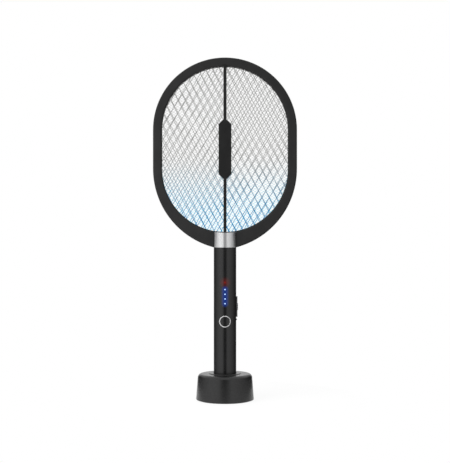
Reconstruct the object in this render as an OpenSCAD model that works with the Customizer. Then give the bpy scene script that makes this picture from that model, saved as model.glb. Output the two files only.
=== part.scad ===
// Electric fly swatter standing in its charging base, in millimetres.
// Z is up, the button and the lamps face -Y, and the origin is under the middle of the base.
// The head is drawn lying flat, with its front upwards, and then stood up by upright().

/* [Base] */
// Diameter of the base at its foot
base_d = 82; // [80:0.5:92]
// Diameter of the base at its top edge, before that edge is rounded
base_top_d = 76.5; // [75:0.5:80]
// Height of the base
base_h = 37.5; // [33:0.5:42]
// Rounding of the top edge of the base
base_round = 5.5; // [2:0.5:6.5]
// Wall of the base shell
base_wall = 2.4; // [1.8:0.1:3]
// How far the rubber foot stands out under the base shell
foot_h = 1; // [0.8:0.1:1.5]
// Width of the rubber foot
foot_w = 4.2; // [3:0.2:6]
// Thickness of the bottom cover
cover_t = 2.4; // [2:0.1:3]
// Gap between the steel weight and what stands round it
weight_gap = 1; // [0.5:0.1:2]

/* [Dock] */
// Height of the dock's floor above the table
dock_z = 15; // [14.5:0.5:18]
// Wall of the dock cup
dock_wall = 2; // [1.6:0.1:3]
// Diameter of the dock's rim on top of the base
dock_rim_d = 44; // [42:0.5:50]
// Thickness of the dock's rim
dock_rim_t = 1.8; // [1.4:0.1:2.4]
// How far the dock's rim stands above the base
rim_up = 0.7; // [0.3:0.1:1.2]
// Width of the groove round the dock's rim
rim_groove = 0.6; // [0.4:0.1:1]
// Distance of each charging pin from the middle
pin_x = 5; // [4:0.5:7]
// Diameter of a charging pin
pin_d = 2; // [1.6:0.1:2.4]
// Stroke of a charging pin
pin_stroke = 0.8; // [0.5:0.1:1.2]

/* [Handle] */
// Diameter of the handle
handle_d = 32; // [31:0.5:36]
// Wall of the handle shells
handle_wall = 2; // [1.6:0.1:2.4]
// Thickness of the end cap's flange
cap_t = 2; // [1.6:0.1:3]
// Height of the end cap's plug
cap_plug = 2.9; // [2:0.1:6]
// Diameter of the battery cell
battery_d = 18.3; // [14:0.1:18.6]
// Length of the battery cell
battery_l = 65; // [50:0.5:70]
// Length of the main circuit board
board_l = 88; // [80:0.5:110]
// Distance of the board's front face from the handle's axis
board_front = 4; // [3.5:0.1:5]
// Room for the leads between the board and the neck
lead_room = 8.7; // [6:0.1:20]

/* [Button and lamps] */
// Outer diameter of the light ring round the power button
ring_d = 16.3; // [14:0.1:17]
// Width of the light ring
ring_w = 1.1; // [1:0.1:2]
// Stroke of the power button
button_stroke = 0.8; // [0.4:0.1:1]
// Height of the lowest blue lamp above the board's lower end
blue_up = 36.7; // [33:0.1:38]
// Spacing of the blue lamps
blue_pitch = 6.6; // [5.5:0.1:7]
// Diameter of a blue lamp
blue_d = 1.7; // [1.5:0.1:2.5]
// Height of the red lamp above the highest blue one
red_up = 9.8; // [8:0.1:14]
// Diameter of the red lamp
red_d = 2.6; // [2:0.1:3]

/* [Side switch] */
// Height of the switch above the board's lower end
switch_up = 31.6; // [28:0.1:33]
// Length of the thumb pad
pad_l = 29.4; // [24:0.1:30]
// Width of the thumb pad
pad_w = 9; // [7:0.1:11]
// How far the thumb pad stands out
pad_out = 1.7; // [1.2:0.1:2.5]
// How far the pad's grip ribs stand out beyond it
grip_out = 0.8; // [0.4:0.1:1.2]
// Travel of the switch
switch_travel = 2; // [1:0.1:2.2]

/* [Neck] */
// Height of the silver collar
collar_h = 22; // [18:0.1:30]
// Diameter of the collar at its top
collar_top_d = 31; // [30:0.1:31.5]
// Length of the collar's plug in the handle
plug_l = 12; // [10:0.5:20]
// Width of the frame's stem in the collar
stem_w = 18; // [17:0.1:19]

/* [Head] */
// Width of the head
head_w = 204; // [190:0.5:230]
// Width of the frame at the top and the sides
band_w = 12.7; // [12:0.1:14]
// Length of the frame's straight sides
side_l = 55.7; // [40:0.1:100]
// Depth of the head from front to rear
head_depth = 12; // [11.6:0.1:13]
// Rounding of the frame's outer edges
edge_round = 2.5; // [1:0.1:2.8]
// Width of the bevel round the opening
bevel_w = 2.2; // [1:0.1:3]
// Depth of the bevel round the opening
bevel_d = 1.1; // [0.6:0.05:1.1]
// Thickness of the frame's front and rear walls
face_t = 1.6; // [1.5:0.05:1.8]

/* [Nets] */
// Width of a diamond in the front and centre nets
net_pitch = 12.8; // [11:0.1:16]
// Height of a diamond in the front and centre nets
net_rise = 21; // [18:0.1:26]
// How much coarser the rear net is than the front one
rear_coarser = 1.045; // [1:0.005:1.1]
// Width of a net's strands
strand_w = 0.9; // [0.7:0.05:1.4]
// Thickness of a net
net_t = 0.8; // [0.6:0.05:1]
// How far the outer nets reach under the frame
net_grip = 3.2; // [2.8:0.1:3.6]
// Width of a net's rim
rim_w = 1.2; // [0.8:0.1:1.6]
// Width of the brace in front of a net
brace_w = 4.3; // [3:0.1:5]
// Width of the plate on the brace
plate_w = 18.1; // [12:0.1:24]
// Length of the plate on the brace
plate_l = 83.5; // [60:0.5:110]
// Length of the plate's tapered ends
plate_taper = 6.5; // [4:0.5:12]

/* [Lamp in the head] */
// Half the angle that the violet lamps take up at the bottom of the opening
lamp_half_angle = 47; // [40:1:49]
// Number of violet lamps on each side
lamps_per_side = 4; // [2:1:5]

/* [Fits] */
// Gap between pieces that move past each other
run_gap = 0.3; // [0.2:0.05:0.4]
// Gap between pieces that are fitted together
fit_gap = 0.1; // [0.05:0.05:0.15]
// Gap between a net and what clamps it
net_gap = 0.15; // [0.1:0.05:0.2]

/* [Hidden] */

// Sizes of bought-in pieces and mouldings that have no reason to change
boss_r = 3.2;
boss_gap = 0.5;
rib_t = 1.6;
post_r = 2;
post_in = 1.5;
screw_r = 0.9;
screw_head_r = 1.9;
screw_head_t = 1.4;
screw_play = 0.1;
head_play = 0.3;
base_screw_l = 8;
screw_sunk = 3.2;
screw_grip = 8;
tip_r = 0.8;
tip_head_r = 1.7;
tip_head_t = 1.1;
tip_sunk = 0.5;
small_board_t = 1.2;
usb_w = 8.9;
usb_h = 3.2;
usb_l = 7.4;
usb_skin = 0.3;
usb_sunk = 1;
blade_t = 0.7;
tongue_w = 14;
tongue_short = 3.4;
board_t = 1.6;
edge = 0.5;
lead_r = 0.7;
strap_t = 0.8;

// How far a cut or a joint reaches past the face it meets, and the groove along the mouldings' seams
over = 1;
seam = 0.3;

// Heights in the base
cover_top = foot_h + cover_t;
dock_floor_t = 2.4;
ledge_t = 2.2;
base_roof = base_h - dock_rim_t - ledge_t;
dock_board_lift = 2.6;
dock_board_z = cover_top + dock_board_lift;
dock_board_top = dock_board_z + small_board_t;

// Radii in the base
function base_r(z) = base_d/2 + (base_top_d - base_d)/2*(z - foot_h)/(base_h - foot_h);
cover_r = base_r(cover_top) - base_wall - fit_gap;
cover_rim = 1;
foot_r = cover_r - cover_rim;
foot_seat = 0.8;
base_boss_x = foot_r - foot_w - screw_head_r - head_play - cover_rim;
base_boss_angles = [30, 150, 270];
dock_r = handle_d/2 + run_gap;
dock_out_r = dock_r + dock_wall;
dock_board_r = 14.5;
post_x = dock_board_r - post_r - post_in;
weight_top = dock_z - dock_floor_t - weight_gap;
usb_z = dock_board_top + usb_h/2;
usb_mouth = base_r(usb_z) - usb_sunk;

// Pins and their sleeves
pin_r = pin_d/2;
pin_fit = 0.05;
pin_l = 5;
sleeve_wall = 0.6;
sleeve_sunk = 1;
sleeve_r = pin_r + sleeve_wall;
sleeve_top = dock_z - sleeve_sunk;
pad_r = 3;
pad_t = 1;
stud_over = 0.8;
stud_l = cap_t + cap_plug + stud_over;

// Heights along the handle, built up from the dock
handle_r = handle_d/2;
bore_r = handle_r - handle_wall;
shell_z = dock_z + cap_t;
low_boss_z = shell_z + cap_plug + boss_gap + boss_r;
battery_z = low_boss_z + boss_r + boss_gap;
nub_t = 1.2;
nub_r = 3;
battery_top = battery_z + battery_l + nub_t;
mid_boss_z = battery_top + boss_gap + boss_r;
board_z = mid_boss_z + boss_r + boss_gap;
board_top = board_z + board_l;
top_boss_z = board_top + boss_gap + boss_r;
plug_z = top_boss_z + boss_r + lead_room;
handle_top = plug_z + plug_l;
neck_screw_z = plug_z + plug_l/2;
handle_screw_z = [low_boss_z, mid_boss_z, top_boss_z, neck_screw_z];
screw_seat = handle_r - screw_sunk;
screw_l = screw_seat + screw_grip;
boss_z = [low_boss_z, mid_boss_z, top_boss_z];
board_rear = board_front - board_t;

// Leads in the handle: the battery's lower lead runs up beside the cell
low_lead_x = -battery_d/2 - lead_r - 2*fit_gap;
low_lead_y = 3;
lead_on_board = -board_rear + lead_r + fit_gap/2;
lead_bend = 2;

// Button, lamps and switch
ring_r = ring_d/2;
button_gap = 1.65;
button_z = board_z + rib_t + ring_r + button_gap;
ring_back = sqrt(bore_r*bore_r - ring_r*ring_r);
button_r = ring_r - ring_w - run_gap/2;
collar_t = 1;
tact_w = 6;
tact_h = 3.5;
plunger_r = 1.75;
plunger_out = 1.8;
plunger_in = 0.6;
plunger_y = board_front + tact_h + plunger_out;
blue_z = [for (i = [0:3]) board_z + blue_up + i*blue_pitch];
red_z = blue_z[3] + red_up;
chip_t = 1;
guide_lift = 1.6;
guide_back = board_front + chip_t + guide_lift;
guide_t = 1.6;
leg_t = 1.4;
guide_w = 4;
guide_reach = 3.2;
switch_z = board_z + switch_up;
lever_t = 1.8;
lever_l = 3;
lever_out = 3;
lever_grip = 1.2;
lever_slot = 2;
body_w = 6;
body_d = 4.8;
body_l = 12;
catch_t = 1.6;
catch_w = 8.4;
catch_l = 12;
catch_x = sqrt(bore_r*bore_r - catch_w*catch_w/4) - run_gap;
board_w = 2*(catch_x - catch_t - 2*run_gap);
switch_x0 = catch_x - catch_t - lever_out + lever_grip;
neck_w = 4.4;
neck_l = 8;
stop_r = 1.1;
stop_half_angle = 10;
stop_z = switch_z - pad_l/2 - switch_travel - run_gap - stop_r;

// Head, in its own plane
half_depth = head_depth/2;
outer_r = head_w/2;
open_r = outer_r - band_w;
open_low = handle_top + collar_h;
open_c = open_low + open_r;
top_c = open_c + side_l;
open_top = top_c + open_r;
seat = half_depth - face_t;
pocket_w = 5;
lamp_pocket_w = 7.5;
lamp_seat = seat - 2*net_gap;
band_reach = 2*band_w;
web_in = edge_round + over;

// Below its straight sides the frame runs in one flatter curve to the handle's edge
neck_in = outer_r - handle_r;
neck_drop = open_c - handle_top;
low_r = (neck_in*neck_in + neck_drop*neck_drop)/2/neck_in;
low_x = outer_r - low_r;
neck_turn = asin(neck_drop/low_r);
tip_past = 1.5;

// Inside the collar the frame is thinner, and the collar covers its front and rear
neck_half = seat - net_gap;
slot_half = neck_half + fit_gap;
collar_seat_x = sqrt(handle_r*handle_r - slot_half*slot_half) + 2*fit_gap;
lip_w = 1.1;
collar_drop = lip_w + fit_gap;

// Layers of the head, from the middle to the front
centre_half = net_t/2;
outer_net_z = seat - net_gap - net_t;
spacer_z0 = centre_half + net_gap;
spacer_z1 = outer_net_z - net_gap;
spacer_in = 0.6;
centre_short = 1;
centre_grip = net_grip - centre_short;
brace_t = face_t - net_gap/2;
tab_t = 1;
tab_l = 3;
notch_w = brace_w + 2*fit_gap;

// Lamps, terminals and leads in the head
lamp_gap_angle = 5.5;
pocket_more = 2;
pocket_angle = lamp_half_angle + pocket_more;
spacer_more = 0.5;
spacer_angle = lamp_half_angle + spacer_more;
uv_board_t = 1;
uv_board_r = open_r + lamp_pocket_w - fit_gap - uv_board_t;
chip_w = 3.5;
chip_h = 2.8;
chip_l = 1.8;
net_lead_x = 4;
uv_lead_x = 7.2;
strap_in = open_low - net_grip - 2*fit_gap;
lead_down = 8;
lead_start = board_top - lead_down;
duct_r = lead_r + run_gap;
duct_x = [-uv_lead_x, -net_lead_x, net_lead_x, uv_lead_x];

// Places of the screws round the frame
frame_screw_in = 5;
frame_screw_r = outer_r - frame_screw_in;
low_screw_r = low_r - frame_screw_in;
upper_angles = [30, 90, 150];
lower_angle = 30;
neck_pair_x = 28;
neck_pair_y = handle_top + 11;
frame_screw_spots = concat(
    [for (a = upper_angles) [frame_screw_r*cos(a), top_c + frame_screw_r*sin(a)]],
    [for (s = [-1, 1]) [s*frame_screw_r, (open_c + top_c)/2]],
    [for (s = [-1, 1]) [s*(low_x + low_screw_r*cos(lower_angle)), open_c - low_screw_r*sin(lower_angle)]],
    [for (s = [-1, 1]) [s*neck_pair_x, neck_pair_y]]);

black = [0.13, 0.13, 0.13];
dark = [0.2, 0.2, 0.21];
silver = [0.8, 0.8, 0.81];
steel = [0.62, 0.63, 0.65];
copper = [0.75, 0.45, 0.2];
board_green = [0.08, 0.32, 0.16];

function arc_points(c, r, a0, a1, steps) =
    [for (i = [0:steps]) let (a = a0 + (a1 - a0)*i/steps) c + r*[cos(a), sin(a)]];

// Turns the flat head upright, with its front to -Y
module upright() {
    rotate([90, 0, 0]) children();
}

// A cylinder that points to the front, from depth y0 to depth y1 behind or before the axis
module forward_pin(r, y0, y1, x = 0, z = 0) {
    translate([x, y1, z]) rotate([90, 0, 0]) cylinder(r = r, h = y1 - y0);
}

// A box given by its least and greatest corners
module block(lo, hi) {
    translate(lo) cube(hi - lo);
}

module ring(r_out, r_in, h) {
    difference() {
        cylinder(r = r_out, h = h);
        translate([0, 0, -over]) cylinder(r = r_in, h = h + 2*over);
    }
}

// A round lead swept through a list of points
aside = [0.31, 0.9, 0.3];
function unit(v) = v/norm(v);
function tangent(p, i) = unit(p[min(i + 1, len(p) - 1)] - p[max(i - 1, 0)]);
function lead_ring(p, i, r, sides) =
    let (t = tangent(p, i), u = unit(cross(t, aside)), v = cross(t, u))
    [for (k = [0:sides - 1]) p[i] + r*(cos(360*k/sides)*u + sin(360*k/sides)*v)];

module lead(p, r, sides = 8) {
    n = len(p);
    points = [for (i = [0:n - 1]) each lead_ring(p, i, r, sides)];
    walls = [for (i = [0:n - 2], k = [0:sides - 1])
        [i*sides + k, i*sides + (k + 1)%sides, (i + 1)*sides + (k + 1)%sides, (i + 1)*sides + k]];
    start = [[for (k = [0:sides - 1]) sides - 1 - k]];
    finish = [[for (k = [0:sides - 1]) (n - 1)*sides + k]];
    polyhedron(points, concat(start, walls, finish));
}

// Base

module base_bosses(r, z0, z1) {
    for (a = base_boss_angles) rotate(a) translate([base_boss_x, 0, z0]) cylinder(r = r, h = z1 - z0);
}

// The round-ended section of the charging inlet, looking along +Y
module inlet_section(grow) {
    r = usb_h/2 + grow;
    x = (usb_w - usb_h)/2;
    for (s = [-1, 1]) translate([s*x, 0]) circle(r = r);
    translate([-x, -r]) square([2*x, 2*r]);
}

module inlet(grow, y0, y1) {
    translate([0, y1, usb_z]) rotate([90, 0, 0]) linear_extrude(height = y1 - y0) inlet_section(grow);
}

module base_shell() {
    lean = atan2((base_d - base_top_d)/2, base_h - foot_h);
    round_in = base_round/tan((90 + lean)/2);
    rebate_r = dock_rim_d/2 + rim_groove;
    hole_r = dock_out_r + fit_gap;
    profile = concat(
        [[base_r(foot_h) - edge, foot_h], [base_r(foot_h + edge), foot_h + edge]],
        arc_points([base_top_d/2 - round_in, base_h - base_round], base_round, lean, 90, 8),
        [[rebate_r, base_h], [rebate_r, base_h - dock_rim_t], [hole_r, base_h - dock_rim_t],
         [hole_r, base_roof], [base_r(base_roof) - base_wall, base_roof],
         [base_r(foot_h) - base_wall, foot_h]]);
    color(black) difference() {
        union() {
            rotate_extrude() polygon(profile);
            base_bosses(boss_r, cover_top, base_roof + over);
        }
        base_bosses(screw_r + screw_play/2, cover_top - over, cover_top + base_screw_l + over);
        inlet(run_gap, usb_mouth - usb_l, base_d/2 + over);
    }
}

module base_cover() {
    color(dark) difference() {
        union() {
            translate([0, 0, foot_h]) cylinder(r = cover_r, h = cover_t);
            for (a = base_boss_angles)
                rotate(a) translate([post_x, 0, cover_top - over])
                    cylinder(r = post_r, h = dock_board_lift + over);
        }
        translate([0, 0, foot_h - over])
            ring(foot_r + fit_gap, foot_r - foot_w - fit_gap, foot_seat + over);
        base_bosses(screw_r + screw_play, foot_h - over, cover_top + over);
        base_bosses(screw_head_r + head_play, foot_h - over, foot_h + screw_head_t);
    }
}

module base_foot() {
    color([0.1, 0.1, 0.1]) ring(foot_r, foot_r - foot_w, foot_h + foot_seat);
}

module base_weight() {
    gap_w = tongue_w + 2*weight_gap;
    weight_r = base_r(weight_top) - base_wall - weight_gap;
    color(steel) difference() {
        translate([0, 0, cover_top]) ring(weight_r, dock_board_r + weight_gap, weight_top - cover_top);
        base_bosses(boss_r + fit_gap, cover_top - over, weight_top + over);
        block([-gap_w/2, 0, cover_top - over], [gap_w/2, base_d, weight_top + over]);
    }
}

module base_screws() {
    color(steel) {
        base_bosses(screw_head_r, foot_h + 2*fit_gap, foot_h + screw_head_t);
        base_bosses(screw_r, foot_h + screw_head_t, cover_top + base_screw_l);
    }
}

module base_board() {
    color(board_green) translate([0, 0, dock_board_z]) {
        cylinder(r = dock_board_r, h = small_board_t);
        block([-tongue_w/2, 0, 0], [tongue_w/2, usb_mouth - tongue_short, small_board_t]);
    }
}

module usb_socket() {
    blade_w = usb_w - usb_h + blade_t;
    back_t = 1;
    color(silver) {
        difference() {
            inlet(0, usb_mouth - usb_l, usb_mouth);
            inlet(-usb_skin, usb_mouth - usb_l + back_t, usb_mouth + over);
        }
        block([-blade_w/2, usb_mouth - usb_l + back_t/2, usb_z - blade_t/2],
              [blade_w/2, usb_mouth - back_t, usb_z + blade_t/2]);
    }
}

module at_pins() {
    for (s = [-1, 1]) translate([s*pin_x, 0, 0]) children();
}

module dock_cup() {
    mouth = 0.8;
    rim_r = dock_rim_d/2;
    rim_top = base_h + rim_up;
    profile = [
        [0, dock_z - dock_floor_t], [dock_out_r, dock_z - dock_floor_t], [dock_out_r, base_h - dock_rim_t],
        [rim_r, base_h - dock_rim_t], [rim_r, rim_top - edge], [rim_r - edge, rim_top],
        [dock_r + mouth, rim_top], [dock_r, rim_top - mouth], [dock_r, dock_z], [0, dock_z]];
    color(dark) difference() {
        rotate_extrude() polygon(profile);
        at_pins() translate([0, 0, dock_z - dock_floor_t - over])
            cylinder(r = sleeve_r + fit_gap, h = dock_floor_t + 2*over);
    }
}

module pin_sleeves() {
    color([0.78, 0.63, 0.25]) at_pins() difference() {
        translate([0, 0, dock_board_top]) cylinder(r = sleeve_r, h = sleeve_top - dock_board_top);
        translate([0, 0, dock_z - pin_l - pin_stroke - run_gap])
            cylinder(r = pin_r + pin_fit, h = pin_l + pin_stroke + over);
    }
}

module contact_pins() {
    tip = 0.4;
    color([0.86, 0.7, 0.3]) at_pins() translate([0, 0, dock_z - pin_l]) rotate_extrude()
        polygon([[0, 0], [pin_r, 0], [pin_r, pin_l - tip], [pin_r - tip, pin_l], [0, pin_l]]);
}

// Handle

// Half of an upright tube, on the front side for side = -1 and on the rear side for side = 1
module half_ring(r_out, r_in, z0, z1, side) {
    rotate(side < 0 ? 180 : 0) rotate_extrude(angle = 180)
        translate([r_in, z0]) square([r_out - r_in, z1 - z0]);
}

// A rib across the handle that holds the circuit board at its end
module board_rib(z, face, side) {
    half_w = 7;
    intersection() {
        translate([0, 0, z]) cylinder(r = handle_r - handle_wall/2, h = rib_t);
        if (side < 0) block([-half_w, -handle_r, z], [half_w, -face, z + rib_t]);
        else block([-half_w, -face, z], [half_w, handle_r, z + rib_t]);
    }
}

// What both handle shells share: the wall, the saddles of the battery and the ribs of the board
module shell_half(side, board_face) {
    saddle_up = [0.12, 0.5, 0.88];
    half_ring(handle_r, bore_r, shell_z, handle_top, side);
    for (u = saddle_up) {
        z = battery_z + u*battery_l;
        half_ring(bore_r + handle_wall/2, battery_d/2 + fit_gap, z - rib_t/2, z + rib_t/2, side);
    }
    for (z = [board_z + fit_gap, board_top - rib_t - fit_gap]) board_rib(z, board_face, side);
    translate([0, 0, stop_z]) rotate(side < 0 ? -stop_half_angle : 0)
        rotate_extrude(angle = stop_half_angle) translate([handle_r, 0]) circle(r = stop_r);
}

// The slot of the side switch, the seams' grooves and the passage of the battery's lower lead
module shell_cuts() {
    block([bore_r - over, -neck_w/2 - run_gap, switch_z - neck_l/2 - switch_travel - run_gap],
          [handle_r + over, neck_w/2 + run_gap, switch_z + neck_l/2 + run_gap]);
    both_sides() block([handle_r - seam, -seam/2, shell_z - over],
                       [handle_r + stop_r + over, seam/2, handle_top + over]);
    translate([low_lead_x, low_lead_y, shell_z + cap_plug])
        cylinder(r = lead_r + run_gap, h = board_z - shell_z - cap_plug);
}

module handle_front() {
    color(black) difference() {
        union() {
            shell_half(-1, board_front);
            for (z = boss_z) forward_pin(boss_r, -bore_r - handle_wall/3, 0, 0, z);
        }
        shell_cuts();
        for (z = boss_z) forward_pin(screw_r + screw_play/2, -screw_grip - over, over, 0, z);
        forward_pin(ring_r + fit_gap, -handle_r - over, -ring_back + over, 0, button_z);
        for (z = blue_z) forward_pin(blue_d/2 + fit_gap, -handle_r - over, -bore_r + over, 0, z);
        forward_pin(red_d/2 + fit_gap, -handle_r - over, -bore_r + over, 0, red_z);
    }
}

module handle_rear() {
    color(black) difference() {
        union() {
            shell_half(1, board_rear);
            for (z = boss_z) forward_pin(boss_r, 0, bore_r + handle_wall/3, 0, z);
        }
        shell_cuts();
        // Notches in the upper rib for the leads to the head
        for (x = duct_x) block([x - duct_r, -board_rear - over, board_top - 2*rib_t],
                               [x + duct_r, lead_on_board + lead_r + run_gap, board_top]);
        for (z = handle_screw_z) {
            forward_pin(screw_r + screw_play, -over, handle_r + over, 0, z);
            forward_pin(screw_head_r + head_play, screw_seat, handle_r + over, 0, z);
        }
    }
}

module handle_cap() {
    profile = [
        [0, dock_z], [handle_r - edge, dock_z], [handle_r, dock_z + edge], [handle_r, shell_z],
        [bore_r - fit_gap, shell_z], [bore_r - fit_gap, shell_z + cap_plug], [0, shell_z + cap_plug]];
    color(black) difference() {
        rotate_extrude() polygon(profile);
        at_pins() {
            translate([0, 0, dock_z - over]) cylinder(r = pad_r + fit_gap, h = pad_t + over);
            translate([0, 0, dock_z]) cylinder(r = pin_r + fit_gap, h = cap_t + cap_plug + over);
        }
    }
}

module charge_contacts() {
    color(silver) at_pins() translate([0, 0, dock_z]) {
        cylinder(r = pad_r, h = pad_t);
        cylinder(r = pin_r, h = stud_l);
    }
}

module handle_screws() {
    color(steel) for (z = handle_screw_z) {
        forward_pin(screw_head_r, screw_seat, screw_seat + screw_head_t, 0, z);
        forward_pin(screw_r, screw_seat - screw_l, screw_seat, 0, z);
    }
}

module battery_cell() {
    color([0.1, 0.35, 0.6]) {
        translate([0, 0, battery_z]) cylinder(d = battery_d, h = battery_l);
        translate([0, 0, battery_top - nub_t - over]) cylinder(r = nub_r, h = nub_t + over);
    }
}

// One lead comes from under the cell, and the other from its top, round the middle screw boss
module battery_leads() {
    lead_in_x = 8.3;
    lead_up = 4;
    lead_in = board_z + lead_up;
    lead_fore = 0.5;
    nub_side = nub_r + lead_r + fit_gap/2;
    above = battery_top - nub_t + lead_r + fit_gap/2;
    under = battery_z - lead_r - fit_gap/2;
    boss_clear = 0.9;
    boss_side = boss_r + lead_r + boss_clear;
    color([0.7, 0.1, 0.1]) lead([
        [nub_side, 0, above],
        [nub_side + lead_bend, 0, above],
        [lead_in_x, -lead_fore, mid_boss_z],
        [lead_in_x, lead_on_board, board_z],
        [lead_in_x, lead_on_board, lead_in]], lead_r);
    color([0.1, 0.1, 0.1]) lead([
        [-boss_side, 0, under],
        [-battery_d/2, lead_bend, under],
        [low_lead_x, low_lead_y, battery_z + lead_bend],
        [low_lead_x, low_lead_y, battery_top],
        [-lead_in_x, lead_on_board, board_z],
        [-lead_in_x, lead_on_board, lead_in]], lead_r);
}

module main_board() {
    color(board_green) block([-board_w/2, -board_front, board_z], [board_w/2, -board_rear, board_top]);
}

module hv_transformer() {
    w = 13;
    d = 10.5;
    l = 14;
    flange = 3.5;
    coil_in = 1.4;
    from_top = 10;
    z = board_top - from_top - l;
    color([0.25, 0.23, 0.22]) {
        for (z1 = [z, z + l - flange]) block([-w/2, -board_rear, z1], [w/2, -board_rear + d, z1 + flange]);
        block([-w/2 + coil_in, -board_rear + coil_in/2, z + over],
              [w/2 - coil_in, -board_rear + d - coil_in, z + l - over]);
    }
}

module hv_capacitors() {
    d = 11;
    l = 8;
    pitch = 12;
    side = [-9, 2];
    from_top = 30;
    color([0.55, 0.12, 0.1]) for (i = [0, 1]) {
        z = board_top - from_top - l - i*pitch;
        block([side[0], -board_rear, z], [side[1], -board_rear + d, z + l]);
    }
}

module rectifier_diodes() {
    body_r = 1.3;
    wire_r = 0.4;
    diode_l = 5;
    wire_out = 1.5;
    pitch = 4;
    diode_up = 14;
    diode_z = board_z + diode_up;
    y = -board_rear + body_r + fit_gap/2;
    color([0.18, 0.18, 0.18]) for (i = [0:2]) translate([-i*pitch, y, diode_z]) {
        cylinder(r = body_r, h = diode_l);
        translate([0, 0, -wire_out]) cylinder(r = wire_r, h = diode_l + 2*wire_out);
    }
}

module lamp_chips() {
    w = 2;
    l = 1.6;
    color([0.85, 0.85, 0.7]) for (z = concat(blue_z, [red_z]))
        block([-w/2, -board_front - chip_t, z - l/2], [w/2, -board_front, z + l/2]);
}

// A clear bar on two legs, with a light guide up to the handle's surface at each given height
module light_guide(heights, lens_r, reach) {
    z0 = heights[0] - reach;
    z1 = heights[len(heights) - 1] + reach;
    intersection() {
        cylinder_of_handle(z0 - over, z1 + over);
        union() {
            block([-guide_w/2, -guide_back - guide_t, z0], [guide_w/2, -guide_back, z1]);
            for (z = [z0, z1 - leg_t])
                block([-guide_w/2, -guide_back - guide_t, z], [guide_w/2, -board_front, z + leg_t]);
            for (z = heights) forward_pin(lens_r, -handle_r - over, -guide_back - guide_t/2, 0, z);
        }
    }
}

module cylinder_of_handle(z0, z1) {
    translate([0, 0, z0]) cylinder(r = handle_r, h = z1 - z0);
}

module blue_light_guide() {
    color([0.35, 0.6, 1]) light_guide(blue_z, blue_d/2, guide_reach);
}

module red_light_guide() {
    color([0.6, 0.1, 0.08]) light_guide([red_z], red_d/2, guide_reach);
}

module button_ring() {
    color([0.85, 0.85, 0.85]) intersection() {
        cylinder_of_handle(button_z - ring_d, button_z + ring_d);
        difference() {
            forward_pin(ring_r, -handle_r - over, -ring_back, 0, button_z);
            forward_pin(ring_r - ring_w, -handle_r - 2*over, -ring_back + over, 0, button_z);
        }
    }
}

module power_button() {
    collar_r = ring_r - run_gap;
    collar_y = ring_back - run_gap/2;
    stem_r = 2;
    color(black) {
        intersection() {
            cylinder_of_handle(button_z - ring_d, button_z + ring_d);
            forward_pin(button_r, -handle_r - over, -collar_y + collar_t/2, 0, button_z);
        }
        forward_pin(collar_r, -collar_y, -collar_y + collar_t, 0, button_z);
        forward_pin(stem_r, -collar_y + collar_t/2, -plunger_y, 0, button_z);
    }
}

module tact_switch() {
    color([0.1, 0.1, 0.1]) difference() {
        block([-tact_w/2, -board_front - tact_h, button_z - tact_w/2],
              [tact_w/2, -board_front, button_z + tact_w/2]);
        forward_pin(plunger_r + fit_gap, -board_front - tact_h - over,
                    -board_front - tact_h + plunger_in + button_stroke + run_gap, 0, button_z);
    }
}

module tact_plunger() {
    color([0.8, 0.75, 0.6])
        forward_pin(plunger_r, -plunger_y, -board_front - tact_h + plunger_in, 0, button_z);
}

// Side switch

module slide_switch() {
    half = lever_l/2 + fit_gap;
    color([0.72, 0.72, 0.74]) difference() {
        block([switch_x0 - body_w, -board_rear, switch_z - body_l/2],
              [switch_x0, -board_rear + body_d, switch_z + body_l/2]);
        block([switch_x0 - lever_slot, -lever_t/2 - fit_gap, switch_z - half - switch_travel],
              [switch_x0 + over, lever_t/2 + fit_gap, switch_z + half]);
    }
}

module switch_lever() {
    color([0.1, 0.1, 0.1]) block(
        [switch_x0 - lever_slot + 2*fit_gap, -lever_t/2, switch_z - lever_l/2],
        [switch_x0 + lever_out - 2*fit_gap, lever_t/2, switch_z + lever_l/2]);
}

// The pad's outline seen from its side, drawn round the switch's own middle
module pad_section(w, l) {
    r = w/2;
    for (s = [-1, 1]) translate([0, s*(l/2 - r)]) circle(r = r);
    translate([-r, -l/2 + r]) square([w, l - w]);
}

module sideways(x0, x1) {
    translate([x0, 0, switch_z]) rotate([90, 0, 90]) linear_extrude(height = x1 - x0) children();
}

module thumb_slider() {
    skin_r = handle_r + run_gap;
    face_r = handle_r + pad_out;
    grips = 4;
    grip_pitch = 2.4;
    grip_l = 1.4;
    grip_in = 1;
    grip_w = pad_w - 2*grip_in;
    color(dark) {
        intersection() {
            union() {
                translate([0, 0, switch_z - pad_l/2]) ring(face_r, skin_r, pad_l);
                for (i = [0:grips - 1])
                    translate([0, 0, switch_z + (i - (grips - 1)/2)*grip_pitch - grip_l/2])
                        ring(face_r + grip_out, face_r - pad_out/2, grip_l);
            }
            union() {
                sideways(bore_r, face_r) pad_section(pad_w, pad_l);
                sideways(bore_r, face_r + grip_out + over)
                    square([grip_w, grips*grip_pitch], center = true);
            }
        }
        difference() {
            union() {
                block([catch_x - catch_t, -catch_w/2, switch_z - catch_l/2],
                      [catch_x, catch_w/2, switch_z + catch_l/2]);
                block([catch_x - catch_t, -neck_w/2, switch_z - neck_l/2],
                      [skin_r + pad_out/3, neck_w/2, switch_z + neck_l/2]);
            }
            block([0, -lever_t/2 - fit_gap, switch_z - lever_l/2 - fit_gap],
                  [switch_x0 + lever_out, lever_t/2 + fit_gap, switch_z + lever_l/2 + fit_gap]);
        }
    }
}

// Head

// Sweeps a section round the frame's outline, from the neck over the top and back
module along_outline() {
    translate([0, top_c]) rotate_extrude(angle = 180) children();
    for (s = [0, 1]) mirror([s, 0, 0]) {
        translate([0, top_c]) rotate([90, 0, 0]) linear_extrude(height = side_l) children();
        translate([low_x, open_c]) rotate_extrude(angle = -neck_turn - tip_past)
            translate([-low_x, 0]) children();
    }
}

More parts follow.
